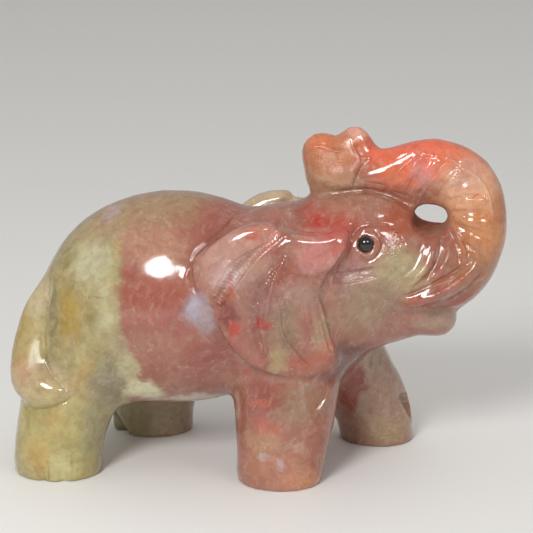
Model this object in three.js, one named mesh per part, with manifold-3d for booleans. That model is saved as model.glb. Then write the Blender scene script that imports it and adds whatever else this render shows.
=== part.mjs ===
// Agate elephant figurine: one carved stone, with two black glass beads inlaid as eyes.
// Millimetres, +Z up. The elephant faces +X and stands on its four soles at z = 0.
import * as THREE from 'three';
import { mergeVertices } from 'three/addons/utils/BufferGeometryUtils.js';
import Module from 'manifold-3d';

// Driving dimensions in millimetres
const figureLength = 64;
const beadDiameter = 2;
const beadClearance = 0.1;
const beadStandOut = 0.7;
const trunkHoleWidth = 4.4;
const trunkHoleHeight = 3.5;
const holeRounding = 0.7;
const soleRounding = 0.7;

// Fineness of the facets
const cellSize = 0.63;
const stoneTriangles = 8800;
const beadSegments = 16;

// The pose, proportions and carving are drawn in units, of which the figure is 98 long:
// x forward, y to the elephant's left, z up from the soles
const unitsLong = 98;
const unit = figureLength / unitsLong;
const cell = cellSize / unit;
const fieldBox = { low: [-53, -24, -2], high: [51, 23, 72] };

// Half the width of the barrel of the body, which carries the ears
const bodyHalfWidth = 19;

// Rounded masses: centre, radii, and how far each melts into the rest
const masses = [
  { centre: [-16.5, 0, 33.6], radii: [27, bodyHalfWidth, 21.7], melt: 3 }, // barrel
  { centre: [-26.5, 0, 29], radii: [15.5, 17.4, 17.5], melt: 3 }, // rump
  { centre: [9, 0, 34], radii: [16.5, 14.6, 18], melt: 3 }, // chest
  { centre: [7, 0, 38.8], radii: [16, 15.4, 14.8], melt: 3 }, // neck
  { centre: [22.5, 0, 43], radii: [14, 12.6, 13], melt: 3 }, // head
  { centre: [20, 0, 50.6], radii: [12, 9.6, 7.4], melt: 3 }, // crown
];

// Limbs: round sections x, y, z, radius along a smooth route, narrower across than along
const limbs = [
  { // near hind leg
    melt: 4,
    narrowing: 1.25,
    stations: [
      [-30, -7, 32, 13], [-35.4, -10, 20, 10.4], [-37.6, -11.8, 12, 9.1], [-38.9, -12.8, 5, 8.9],
      [-39, -13, -6, 9],
    ],
  },
  { // far hind leg
    melt: 4,
    narrowing: 1.25,
    stations: [
      [-26, 7, 32, 13], [-24.6, 10, 20, 10.6], [-24, 12.4, 12, 9.6], [-24.6, 13.4, 5, 8.7],
      [-24.8, 13.6, -6, 8.9],
    ],
  },
  { // near foreleg
    melt: 3.5,
    narrowing: 1.25,
    stations: [
      [4, -5, 34, 13], [6.5, -7.6, 24, 11], [6.8, -10.2, 15, 10.2], [6.4, -12, 8, 9.1], [5.4, -13, -6, 7.9],
    ],
  },
  { // far foreleg, striding forward
    melt: 3.5,
    narrowing: 1.2,
    stations: [
      [9, 5, 32, 12], [14, 8.6, 22, 10], [19.6, 11.8, 13, 8.6], [22.8, 13.2, 6.5, 8], [24.2, 13.6, -6, 7.7],
    ],
  },
  { // lower jaw
    melt: 2.5,
    narrowing: 0.8,
    stations: [[20, 0, 33, 9], [26, 0, 32, 6.3], [31.5, 0, 31.9, 4.5], [36.2, 0, 31.2, 3.8]],
  },
  { // trunk, from the cheeks round the loop to the crown
    melt: 1.5,
    narrowing: 1,
    stations: [
      [23, 0, 44, 12.4], [30, 0, 42, 11], [36.2, 0, 41.4, 9.1], [41.4, 0, 45.2, 6.9], [43.1, 0, 52.2, 6],
      [40.9, 0, 58.7, 5.8], [34.8, 0, 61.6, 5.6], [27.8, 0, 60.3, 5.2], [22.5, 0, 59.6, 5.1],
      [16, 0, 59.8, 5.6],
    ],
  },
  { // web between the trunk and the crown, left by the carver above the hole
    melt: 1.2,
    narrowing: 1,
    stations: [[15, 0, 57.2, 3.4], [24, 0, 56.6, 3.8], [31, 0, 57, 3.8], [37, 0, 56.6, 3.6]],
  },
  { // flared end of the trunk, standing up behind the crown
    melt: 1.5,
    narrowing: 1.15,
    stations: [[15, 0, 55, 3.4], [13.8, 0, 60, 4.4], [12.8, 0, 64, 3.9]],
  },
  { // upper edge of the flared end, rising to its finger
    melt: 1.2,
    narrowing: 1.25,
    stations: [
      [12.8, 0, 63.4, 3.7], [16, 0, 63.3, 3.5], [18, 0, 64.8, 3.4], [19.3, 0, 66.5, 2.7], [21.6, 0, 63.8, 2.4],
    ],
  },
  { // tail, laid round the rump with its tuft on the near thigh
    melt: 0.8,
    narrowing: 1,
    stations: [
      [-34, -1, 44.6, 2.6], [-37.8, -3.4, 39.4, 3.2], [-42.1, -7, 31.5, 4.3], [-43.4, -10.2, 24.5, 4.9],
      [-43, -13.4, 19.6, 4.9], [-40.6, -15.4, 18.2, 4.4], [-37.8, -16.8, 18, 3.2], [-35.6, -17.4, 18.2, 1.6],
    ],
  },
];

// Ear: a flap inside this outline, x and z, drawn the same on both sides
const ear = {
  outline: [
    [-10.5, 45], [-6.5, 48.8], [-2.2, 51.8], [2.5, 53], [8, 52], [11.6, 50.6], [15.6, 51], [19.6, 51.6],
    [17.6, 46.6], [15, 42], [14, 38.4], [15, 33.6], [16.8, 29], [18, 25], [14.5, 23], [8, 23], [2.4, 24.6],
    [-2, 28], [-5, 32.4], [-6.8, 36.8], [-9.4, 39.6],
  ],
  thickness: { top: 4.6, growth: 0.45, from: 53 },
  rounding: 1.6,
  melt: 0.8,
  crest: { x: -2, z: 32, standOut: 0.4 },
  bowing: { x: 0.0095, z: 0.0052 },
};

// Carved lines seen from the side, x and z: a positive depth cuts in and a negative one stands out;
// side -1 is for the elephant's right side alone
const carving = {
  earTroughRear: {
    line: [[7.6, 52.4], [3.2, 49], [-0.8, 44.8], [-3.6, 41], [-5.6, 37.4]], halfWidth: 2.2, depth: 1.5,
  },
  earTroughFront: {
    line: [[7.8, 47.4], [3.9, 42.3], [2.2, 38], [2, 33], [4, 26]], halfWidth: 2.1, depth: 1.3,
  },
  earFront: { line: [[20.6, 51.4], [17.8, 46.4], [15, 42], [14.2, 38]], halfWidth: 1.3, depth: 0.7 },
  brow: { line: [[18.6, 49.2], [20.8, 52.1], [24, 53.1], [27.6, 52.6]], halfWidth: 1.4, depth: 0.6 },
  underEye: { line: [[15.5, 42.6], [20, 43.4], [24.6, 44.6]], halfWidth: 1.8, depth: 0.7 },
  trunkOnCrown: {
    line: [[10.6, 56.6], [16, 57], [22, 57.8], [26.6, 56.8], [31, 54.6]], halfWidth: 1.5, depth: 1.1,
  },
  trunkEndRoot: { line: [[24, 65.4], [21.6, 63], [20.2, 60], [19.6, 57.8]], halfWidth: 1.4, depth: 0.8 },
  cheekHollow: { line: [[37.4, 47.6], [34.4, 42.4], [31.6, 39.4]], halfWidth: 1.7, depth: 0.7 },
  trunkFold: { line: [[40.4, 51], [41.4, 47.4], [41.2, 44]], halfWidth: 1.5, depth: 0.7 },
  tuskSwelling: { line: [[29.4, 36], [35, 37.8], [40.4, 40.2], [44.6, 43.6]], halfWidth: 2, depth: -0.9 },
  tuskGroove: { line: [[28, 34.4], [34, 34.4], [39, 36.2], [43.6, 39.6]], halfWidth: 1.3, depth: 0.8 },
  mouth: { line: [[34, 33.9], [38, 34.1], [42, 34.2]], halfWidth: 1.2, depth: 0.9 },
  tailCrease: {
    line: [[-39.4, 38.6], [-40.6, 35], [-41.2, 29], [-40.6, 24.6], [-37.8, 21.8], [-35, 20.6]],
    halfWidth: 1.5, depth: 0.8, side: -1,
  },
};

// Clefts between the toes of the hind feet, by the heading of each from the middle of the sole
const toes = [
  { foot: [-39, -13], reach: 8, headings: [258, 292] },
  { foot: [-24.8, 13.6], reach: 8, headings: [70, 105] },
];
const toeCleft = { halfWidth: 1.3, depth: 0.9, height: 5 };

// Places of the drilled hole through the trunk's loop and of the eyes, x and z
const holePlace = [34.1, 51.9];
const eyePlace = [22.3, 48.7];
const lid = { radius: 3.2, height: 0.5 };

const { clamp, lerp, smoothstep } = THREE.MathUtils;

// The smaller of two distances, with a fillet where they meet
function meld(a, b, width) {
  const near = Math.max(width - Math.abs(a - b), 0) / width;
  return Math.min(a, b) - near * near * width / 4;
}

function ellipsoidDistance({ centre, radii }, x, y, z) {
  const u = (x - centre[0]) / radii[0];
  const v = (y - centre[1]) / radii[1];
  const w = (z - centre[2]) / radii[2];
  const level = Math.sqrt(u * u + v * v + w * w);
  const slope = Math.sqrt((u / radii[0]) ** 2 + (v / radii[1]) ** 2 + (w / radii[2]) ** 2);
  return slope > 0 ? level * (level - 1) / slope : -Math.min(...radii);
}

// Short straight lengths of a limb, with the radius at both ends, in space stretched across
function limbSpans({ stations, narrowing }) {
  const centres = stations.map(([x, y, z]) => new THREE.Vector3(x, y * narrowing, z));
  const route = new THREE.CatmullRomCurve3(centres);
  const count = (stations.length - 1) * 4;
  const radiusAt = (i) => {
    const along = i / count * (stations.length - 1);
    const first = Math.min(Math.floor(along), stations.length - 2);
    return lerp(stations[first][3], stations[first + 1][3], along - first);
  };
  return Array.from({ length: count }, (_, i) => {
    const start = route.getPoint(i / count);
    const step = route.getPoint((i + 1) / count).sub(start);
    const lengthSquared = step.lengthSq();
    return { start, step, lengthSquared, startRadius: radiusAt(i), endRadius: radiusAt(i + 1) };
  });
}
limbs.forEach((limb) => { limb.spans = limbSpans(limb); });

function limbDistance(limb, x, y, z) {
  const v = y * limb.narrowing;
  let nearest = Infinity;
  for (const { start, step, lengthSquared, startRadius, endRadius } of limb.spans) {
    const reach = (x - start.x) * step.x + (v - start.y) * step.y + (z - start.z) * step.z;
    const along = Math.min(Math.max(reach / lengthSquared, 0), 1);
    const dx = x - start.x - along * step.x;
    const dy = v - start.y - along * step.y;
    const dz = z - start.z - along * step.z;
    const distance = Math.sqrt(dx * dx + dy * dy + dz * dz) - startRadius - along * (endRadius - startRadius);
    if (distance < nearest) nearest = distance;
  }
  return nearest;
}

// Side-view lines as smooth rows of points
const sidePoint = ([x, z]) => new THREE.Vector3(x, z, 0);
ear.rim = new THREE.CatmullRomCurve3(ear.outline.map(sidePoint), true).getPoints(ear.outline.length * 3);
const strokes = Object.values(carving).map(({ line, halfWidth, depth, side }) => {
  const points = new THREE.CatmullRomCurve3(line.map(sidePoint)).getPoints(line.length * 4);
  const box = new THREE.Box3().setFromPoints(points).expandByScalar(halfWidth);
  return { points, box, halfWidth, depth, side };
});

// Nearest distance to a side-view line, and how far along the line that is, from 0 to 1
function lineDistance(points, x, z) {
  let best = Infinity;
  let place = 0;
  for (let i = 0; i < points.length - 1; i += 1) {
    const a = points[i];
    const ux = points[i + 1].x - a.x;
    const uz = points[i + 1].y - a.y;
    const along = Math.min(Math.max(((x - a.x) * ux + (z - a.y) * uz) / (ux * ux + uz * uz), 0), 1);
    const distance = (x - a.x - along * ux) ** 2 + (z - a.y - along * uz) ** 2;
    if (distance < best) {
      best = distance;
      place = (i + along) / (points.length - 1);
    }
  }
  return [Math.sqrt(best), place];
}

function insideLoop(points, x, z) {
  let inside = false;
  for (let i = 0; i < points.length - 1; i += 1) {
    const a = points[i];
    const b = points[i + 1];
    if ((a.y > z) !== (b.y > z) && x < a.x + (z - a.y) / (b.y - a.y) * (b.x - a.x)) inside = !inside;
  }
  return inside;
}

function earDistance(x, y, z) {
  const { crest, bowing, rounding } = ear;
  const thickness = ear.thickness.top + ear.thickness.growth * Math.max(ear.thickness.from - z, 0);
  const bow = bowing.x * (x - crest.x) ** 2 + bowing.z * (z - crest.z) ** 2;
  const face = bodyHalfWidth + crest.standOut - bow;
  const outside = Math.abs(y) - face;
  if (outside > 4 || outside < -thickness - 4) return 4;
  const rimDistance = lineDistance(ear.rim, x, z)[0] * (insideLoop(ear.rim, x, z) ? -1 : 1);
  const flap = -meld(-rimDistance, -outside, rounding);
  return -meld(-flap, thickness + outside, rounding);
}

// Depth of all side-view carving at a place, on either side of the elephant
function carvedDepth(x, y, z) {
  let depth = 0;
  for (const { points, box, halfWidth, depth: full, side } of strokes) {
    if (side * y < 0 || x < box.min.x || x > box.max.x || z < box.min.y || z > box.max.y) continue;
    const [distance, along] = lineDistance(points, x, z);
    const near = Math.max(1 - (distance / halfWidth) ** 2, 0);
    const ending = Math.min(0.25 + 4 * Math.min(along, 1 - along), 1);
    depth += full * near * near * ending;
  }
  const fromEye = Math.hypot(x - eyePlace[0], z - eyePlace[1]) / lid.radius;
  depth -= lid.height * Math.max(1 - fromEye ** 4, 0);
  return depth * smoothstep(Math.abs(y), 1.5, 4.5);
}

function toeDepth(x, y, z) {
  let depth = 0;
  for (const { foot, reach, headings } of toes) {
    if (z > toeCleft.height || Math.hypot(x - foot[0], y - foot[1]) > 2 * reach) continue;
    for (const heading of headings) {
      const angle = THREE.MathUtils.degToRad(heading);
      const ahead = (x - foot[0]) * Math.cos(angle) + (y - foot[1]) * Math.sin(angle);
      const aside = (x - foot[0]) * Math.sin(angle) - (y - foot[1]) * Math.cos(angle);
      const near = ahead > reach / 2 ? Math.max(1 - (aside / toeCleft.halfWidth) ** 2, 0) : 0;
      depth += toeCleft.depth * near * near * (1 - (Math.max(z, 0) / toeCleft.height) ** 2);
    }
  }
  return depth;
}

// Distance from the stone's surface, negative inside it
function stoneDistance(x, y, z) {
  let distance = Infinity;
  for (const mass of masses) distance = meld(distance, ellipsoidDistance(mass, x, y, z), mass.melt);
  for (const limb of limbs) distance = meld(distance, limbDistance(limb, x, y, z), limb.melt);
  distance = meld(distance, earDistance(x, y, z), ear.melt);
  if (Math.abs(distance) < 3) distance += carvedDepth(x, y, z) + toeDepth(x, y, z);
  const holeRadii = [trunkHoleWidth / unit / 2, trunkHoleHeight / unit / 2];
  const fromHole = Math.hypot((x - holePlace[0]) / holeRadii[0], (z - holePlace[1]) / holeRadii[1]);
  const hole = (fromHole - 1) * holeRadii[1];
  distance = -meld(-distance, hole, holeRounding / unit);
  return -meld(-distance, z + soleRounding / unit / 4, soleRounding / unit);
}

// Six tetrahedra round the long diagonal of a cell; a corner's bits say x, y and z
const tetrahedra = [[0, 1, 3, 7], [0, 3, 2, 7], [0, 2, 6, 7], [0, 6, 4, 7], [0, 4, 5, 7], [0, 5, 1, 7]];
const cellCorners = [0, 1, 2, 3, 4, 5, 6, 7].map((bits) => [bits & 1, (bits >> 1) & 1, bits >> 2]);

// Distances on a grid of nodes; a block that lies clear of the surface gets one value
function fieldLevels(distanceAt, counts, nodePlace) {
  const block = 4;
  const reach = block * cell * 1.3;
  const levels = new Float32Array(counts[0] * counts[1] * counts[2]);
  for (let k = 0; k < counts[2]; k += 1) {
    for (let j = 0; j < counts[1]; j += 1) {
      for (let i = 0; i < counts[0]; i += 1) {
        const at = i + (j + k * counts[1]) * counts[0];
        if (levels[at] !== 0) continue;
        const centre = [i, j, k].map((n) => n - n % block + block / 2);
        const level = i % block || j % block || k % block ? 0 : distanceAt(...nodePlace(...centre));
        if (Math.abs(level) < reach) {
          levels[at] = distanceAt(...nodePlace(i, j, k)) || 1e-9;
          continue;
        }
        for (let n = 0; n < block ** 3; n += 1) {
          const u = i + n % block;
          const v = j + Math.floor(n / block) % block;
          const w = k + Math.floor(n / block ** 2);
          const fits = u < counts[0] && v < counts[1] && w < counts[2];
          if (fits) levels[u + (v + w * counts[1]) * counts[0]] = level;
        }
      }
    }
  }
  return levels;
}

// Closed surface where the distance changes sign
function surfaceOf(distanceAt) {
  const counts = [0, 1, 2].map((axis) => Math.ceil((fieldBox.high[axis] - fieldBox.low[axis]) / cell) + 1);
  const nodePlace = (...node) => node.map((n, axis) => fieldBox.low[axis] + n * cell);
  const levels = fieldLevels(distanceAt, counts, nodePlace);
  const offsets = cellCorners.map(([i, j, k]) => i + (j + k * counts[1]) * counts[0]);
  const points = [];
  const faces = [];
  const known = new Map();
  const crossing = (cellNode, place, from, to) => {
    const [low, high] = from < to ? [from, to] : [to, from];
    const node = cellNode + offsets[low];
    const key = node * 8 + (high ^ low);
    if (!known.has(key)) {
      const between = (share) => place.map((n, axis) => (
        n + cell * lerp(cellCorners[low][axis], cellCorners[high][axis], share)));
      let [start, end] = [0, 1];
      let [startLevel, endLevel] = [levels[node], levels[cellNode + offsets[high]]];
      for (let i = 0; i < 3; i += 1) {
        const share = lerp(start, end, clamp(startLevel / (startLevel - endLevel), 0.1, 0.9));
        const level = distanceAt(...between(share));
        if (level < 0 === startLevel < 0) [start, startLevel] = [share, level];
        else [end, endLevel] = [share, level];
      }
      const share = lerp(start, end, clamp(startLevel / (startLevel - endLevel), 0, 1));
      known.set(key, points.length / 3);
      points.push(...between(clamp(share, 0.03, 0.97)));
    }
    return known.get(key);
  };
  const addFace = (p, q, r, turned) => faces.push(p, turned ? r : q, turned ? q : r);

  for (let k = 0; k < counts[2] - 1; k += 1) {
    for (let j = 0; j < counts[1] - 1; j += 1) {
      for (let i = 0; i < counts[0] - 1; i += 1) {
        const node = i + (j + k * counts[1]) * counts[0];
        const isInner = offsets.map((offset) => levels[node + offset] < 0);
        if (isInner.every((inner) => inner === isInner[0])) continue;
        const place = nodePlace(i, j, k);
        for (const corners of tetrahedra) {
          const inner = [0, 1, 2, 3].filter((n) => isInner[corners[n]]);
          const outer = [0, 1, 2, 3].filter((n) => !isInner[corners[n]]);
          const cut = (m, n) => crossing(node, place, corners[m], corners[n]);
          if (inner.length === 1) addFace(...outer.map((n) => cut(inner[0], n)), inner[0] % 2 === 1);
          if (outer.length === 1) addFace(...inner.map((n) => cut(n, outer[0])), outer[0] % 2 === 0);
          if (inner.length === 2) {
            const ring = [[0, 0], [0, 1], [1, 1], [1, 0]].map(([m, n]) => cut(inner[m], outer[n]));
            const turned = (inner[0] + inner[1]) % 2 === 0;
            addFace(ring[0], ring[1], ring[2], turned);
            addFace(ring[0], ring[2], ring[3], turned);
          }
        }
      }
    }
  }
  return { points: Float64Array.from(points), faces: Int32Array.from(faces) };
}

// A heap that gives back its cheapest entry first
class CheapestFirst {
  entries = [];

  push(entry) {
    const { entries } = this;
    let at = entries.length;
    while (at > 0 && entries[(at - 1) >> 1].cost > entry.cost) {
      entries[at] = entries[(at - 1) >> 1];
      at = (at - 1) >> 1;
    }
    entries[at] = entry;
  }

  pop() {
    const { entries } = this;
    const first = entries[0];
    const last = entries.pop();
    if (entries.length === 0) return first;
    let at = 0;
    for (;;) {
      let child = at * 2 + 1;
      if (child >= entries.length) break;
      if (child + 1 < entries.length && entries[child + 1].cost < entries[child].cost) child += 1;
      if (entries[child].cost >= last.cost) break;
      entries[at] = entries[child];
      at = child;
    }
    entries[at] = last;
    return first;
  }
}

// Fewer triangles on the same surface: edges close up one by one, the least noticed first,
// and none where a triangle would turn over or shrink away
const leastTurn = 0.35;
const leastArea = 1e-3;
function simplified({ points, faces }, wanted) {
  const around = Array.from({ length: points.length / 3 }, () => []);
  const planes = new Float64Array(points.length / 3 * 10);
  const stamps = new Int32Array(points.length / 3);
  const alive = new Uint8Array(faces.length / 3).fill(1);
  let left = alive.length;
  const at = (v) => [points[v * 3], points[v * 3 + 1], points[v * 3 + 2]];

  const normalOf = (p, q, r) => {
    const [ux, uy, uz] = [q[0] - p[0], q[1] - p[1], q[2] - p[2]];
    const [vx, vy, vz] = [r[0] - p[0], r[1] - p[1], r[2] - p[2]];
    return [uy * vz - uz * vy, uz * vx - ux * vz, ux * vy - uy * vx];
  };
  for (let face = 0; face < alive.length; face += 1) {
    const corners = [faces[face * 3], faces[face * 3 + 1], faces[face * 3 + 2]];
    const [p, q, r] = corners.map(at);
    const normal = normalOf(p, q, r);
    const size = Math.hypot(...normal) || 1e-12;
    const [a, b, c] = normal.map((n) => n / size);
    const d = -(a * p[0] + b * p[1] + c * p[2]);
    const plane = [a * a, a * b, a * c, a * d, b * b, b * c, b * d, c * c, c * d, d * d];
    for (const corner of corners) {
      around[corner].push(face);
      plane.forEach((value, n) => { planes[corner * 10 + n] += value * size; });
    }
  }

  const errorAt = (q, [x, y, z]) => (
    x * (q[0] * x + 2 * (q[1] * y + q[2] * z + q[3]))
    + y * (q[4] * y + 2 * (q[5] * z + q[6])) + z * (q[7] * z + 2 * q[8]) + q[9]);
  const candidate = (v, w) => {
    const q = new Float64Array(10);
    for (let n = 0; n < 10; n += 1) q[n] = planes[v * 10 + n] + planes[w * 10 + n];
    const [p, r] = [at(v), at(w)];
    const middle = p.map((value, n) => (value + r[n]) / 2);
    const minors = [q[4] * q[7] - q[5] * q[5], q[2] * q[5] - q[1] * q[7], q[1] * q[5] - q[2] * q[4]];
    const whole = q[0] * minors[0] + q[1] * minors[1] + q[2] * minors[2];
    let place = middle;
    const reach = Math.hypot(p[0] - r[0], p[1] - r[1], p[2] - r[2]);
    if (Math.abs(whole) > 1e-3 * (q[0] + q[4] + q[7]) ** 3) {
      const best = [
        -(minors[0] * q[3] + minors[1] * q[6] + minors[2] * q[8]) / whole,
        -(minors[1] * q[3] + (q[0] * q[7] - q[2] * q[2]) * q[6] + (q[1] * q[2] - q[0] * q[5]) * q[8]) / whole,
        -(minors[2] * q[3] + (q[1] * q[2] - q[0] * q[5]) * q[6] + (q[0] * q[4] - q[1] * q[1]) * q[8]) / whole,
      ];
      if (Math.hypot(best[0] - middle[0], best[1] - middle[1], best[2] - middle[2]) < reach) place = best;
    }
    const cost = Math.max(errorAt(q, place), 0) + 1e-5 * reach * reach;
    return { cost, v, w, place, stampV: stamps[v], stampW: stamps[w] };
  };
  const neighbours = (v) => {
    const found = new Set();
    for (const face of around[v]) for (let n = 0; n < 3; n += 1) found.add(faces[face * 3 + n]);
    found.delete(v);
    return found;
  };
  const turnsOver = (v, other, place) => around[v].some((face) => {
    const corners = [faces[face * 3], faces[face * 3 + 1], faces[face * 3 + 2]];
    if (corners.includes(other)) return false;
    const before = normalOf(...corners.map(at));
    const after = normalOf(...corners.map((corner) => (corner === v ? place : at(corner))));
    const sizes = [before, after].map(([x, y, z]) => Math.sqrt(x * x + y * y + z * z));
    const turn = before[0] * after[0] + before[1] * after[1] + before[2] * after[2];
    return turn < leastTurn * sizes[0] * sizes[1] || sizes[1] < leastArea;
  });

  const queue = new CheapestFirst();
  for (let v = 0; v < around.length; v += 1) {
    for (const w of neighbours(v)) if (v < w) queue.push(candidate(v, w));
  }
  while (left > wanted && queue.entries.length > 0) {
    const { v, w, place, stampV, stampW } = queue.pop();
    if (stamps[v] !== stampV || stamps[w] !== stampW) continue;
    const beside = neighbours(w);
    const shared = [...neighbours(v)].filter((u) => beside.has(u));
    if (shared.length !== 2 || turnsOver(v, w, place) || turnsOver(w, v, place)) continue;
    for (const face of around[w]) {
      const corners = [0, 1, 2].map((n) => faces[face * 3 + n]);
      if (corners.includes(v)) {
        alive[face] = 0;
        left -= 1;
        for (const u of corners) if (u !== w) around[u] = around[u].filter((other) => other !== face);
      } else {
        faces[face * 3 + corners.indexOf(w)] = v;
        around[v].push(face);
      }
    }
    around[w] = [];
    stamps[w] = -1;
    for (let n = 0; n < 10; n += 1) planes[v * 10 + n] += planes[w * 10 + n];
    place.forEach((value, n) => { points[v * 3 + n] = value; });
    stamps[v] += 1;
    for (const u of neighbours(v)) queue.push(candidate(v, u));
  }
  const renumbered = new Map();
  const keptPoints = [];
  const keptFaces = [];
  for (let face = 0; face < alive.length; face += 1) {
    if (!alive[face]) continue;
    for (let n = 0; n < 3; n += 1) {
      const v = faces[face * 3 + n];
      if (!renumbered.has(v)) {
        renumbered.set(v, keptPoints.length / 3);
        keptPoints.push(...at(v));
      }
      keptFaces.push(renumbered.get(v));
    }
  }
  return { points: keptPoints, faces: keptFaces };
}

// Closed solids for joining and cutting, from three.js geometry and back
const wasm = await Module();
wasm.setup();
function toSolid(geometry) {
  const bare = geometry.clone();
  bare.deleteAttribute('normal');
  bare.deleteAttribute('uv');
  const merged = mergeVertices(bare);
  const vertProperties = merged.attributes.position.array;
  const triVerts = Uint32Array.from(merged.index.array);
  return new wasm.Manifold(new wasm.Mesh({ numProp: 3, vertProperties, triVerts }));
}
function toGeometry(solid) {
  const { vertProperties, triVerts } = solid.getMesh();
  const geometry = new THREE.BufferGeometry();
  geometry.setAttribute('position', new THREE.BufferAttribute(Float32Array.from(vertProperties), 3));
  geometry.setIndex(new THREE.BufferAttribute(Uint32Array.from(triVerts), 1));
  geometry.computeVertexNormals();
  return geometry;
}

function stoneGeometry() {
  const { points, faces } = simplified(surfaceOf(stoneDistance), stoneTriangles);
  const geometry = new THREE.BufferGeometry();
  geometry.setAttribute('position', new THREE.Float32BufferAttribute(points.map((value) => value * unit), 3));
  geometry.setIndex([...faces]);
  return geometry;
}

// Centre of an eye's bead: the surface is found by halving, then the bead is let in
function beadCentre(side) {
  let [inner, outer] = [0, 20];
  for (let i = 0; i < 30; i += 1) {
    const middle = (inner + outer) / 2;
    if (stoneDistance(eyePlace[0], side * middle, eyePlace[1]) < 0) inner = middle;
    else outer = middle;
  }
  const across = inner * unit + beadStandOut - beadDiameter / 2;
  return new THREE.Vector3(eyePlace[0] * unit, side * across, eyePlace[1] * unit);
}
const beadGeometry = (radius) => new THREE.SphereGeometry(radius, beadSegments, beadSegments / 2);

const stoneLook = new THREE.MeshStandardMaterial({ color: 0xb5745c, roughness: 0.12, metalness: 0 });
const glassLook = new THREE.MeshStandardMaterial({ color: 0x0b0b0d, roughness: 0.05, metalness: 0 });

const elephant = new THREE.Group();
const eyes = { eye_bead_right: beadCentre(-1), eye_bead_left: beadCentre(1) };

// The ground plane trims the soles flat, and a round seat takes each bead
const groundSize = 2 * figureLength;
const ground = new THREE.BoxGeometry(groundSize, groundSize, groundSize).translate(0, 0, -groundSize / 2);
let stone = toSolid(stoneGeometry()).subtract(toSolid(ground));
for (const centre of Object.values(eyes)) {
  const seat = beadGeometry(beadDiameter / 2 + beadClearance).translate(...centre);
  stone = stone.subtract(toSolid(seat));
}
const stoneMesh = new THREE.Mesh(toGeometry(stone), stoneLook);
stoneMesh.name = 'elephant';
elephant.add(stoneMesh);
for (const [name, centre] of Object.entries(eyes)) {
  const bead = new THREE.Mesh(beadGeometry(beadDiameter / 2), glassLook);
  bead.name = name;
  bead.position.copy(centre);
  elephant.add(bead);
}

// The origin is under the middle of the figure
stoneMesh.geometry.computeBoundingBox();
const middle = stoneMesh.geometry.boundingBox.getCenter(new THREE.Vector3());
elephant.position.set(-middle.x, -middle.y, 0);

export default elephant;
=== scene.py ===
import math

import bpy
import numpy as np
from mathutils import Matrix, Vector, noise


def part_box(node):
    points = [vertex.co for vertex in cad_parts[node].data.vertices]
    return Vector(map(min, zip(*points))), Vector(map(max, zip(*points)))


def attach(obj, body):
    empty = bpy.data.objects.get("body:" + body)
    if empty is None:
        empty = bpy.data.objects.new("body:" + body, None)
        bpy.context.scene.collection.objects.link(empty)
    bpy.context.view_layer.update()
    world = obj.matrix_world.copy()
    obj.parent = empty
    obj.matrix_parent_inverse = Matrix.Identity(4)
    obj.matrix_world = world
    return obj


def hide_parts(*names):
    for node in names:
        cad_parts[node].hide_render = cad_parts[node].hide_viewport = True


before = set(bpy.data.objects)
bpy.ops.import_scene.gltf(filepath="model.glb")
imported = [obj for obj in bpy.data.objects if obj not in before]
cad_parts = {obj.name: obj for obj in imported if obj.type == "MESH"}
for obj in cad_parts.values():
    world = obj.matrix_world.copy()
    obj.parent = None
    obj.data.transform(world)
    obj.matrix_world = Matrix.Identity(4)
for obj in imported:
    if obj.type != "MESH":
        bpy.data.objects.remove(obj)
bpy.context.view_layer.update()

millimetre = 0.001


def pickOnly(thing):
    bpy.ops.object.select_all(action="DESELECT")
    thing.select_set(True)
    bpy.context.view_layer.objects.active = thing


def applyModifier(thing, kind, **settings):
    pickOnly(thing)
    modifier = thing.modifiers.new(kind.title(), kind)
    for name, value in settings.items():
        setattr(modifier, name, value)
    bpy.ops.object.modifier_apply(modifier=modifier.name)


def smoothRoute(corners, step=0.25):
    # a rounded line through the corners, in short steps
    points = np.array(corners, float)
    padded = np.vstack([2 * points[0] - points[1], points, 2 * points[-1] - points[-2]])
    route = []
    for a, b, c, d in zip(padded, padded[1:], padded[2:], padded[3:]):
        count = max(2, int(np.linalg.norm(c - b) / step))
        for t in np.arange(count) / count:
            route.append(0.5 * (2 * b + (c - a) * t + (2 * a - 5 * b + 4 * c - d) * t**2
                                + (3 * b - a - 3 * c + d) * t**3))
    return np.array(route + [points[-1]])


# The stone: the solid's form, with the cutter's fine work let into it

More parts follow.
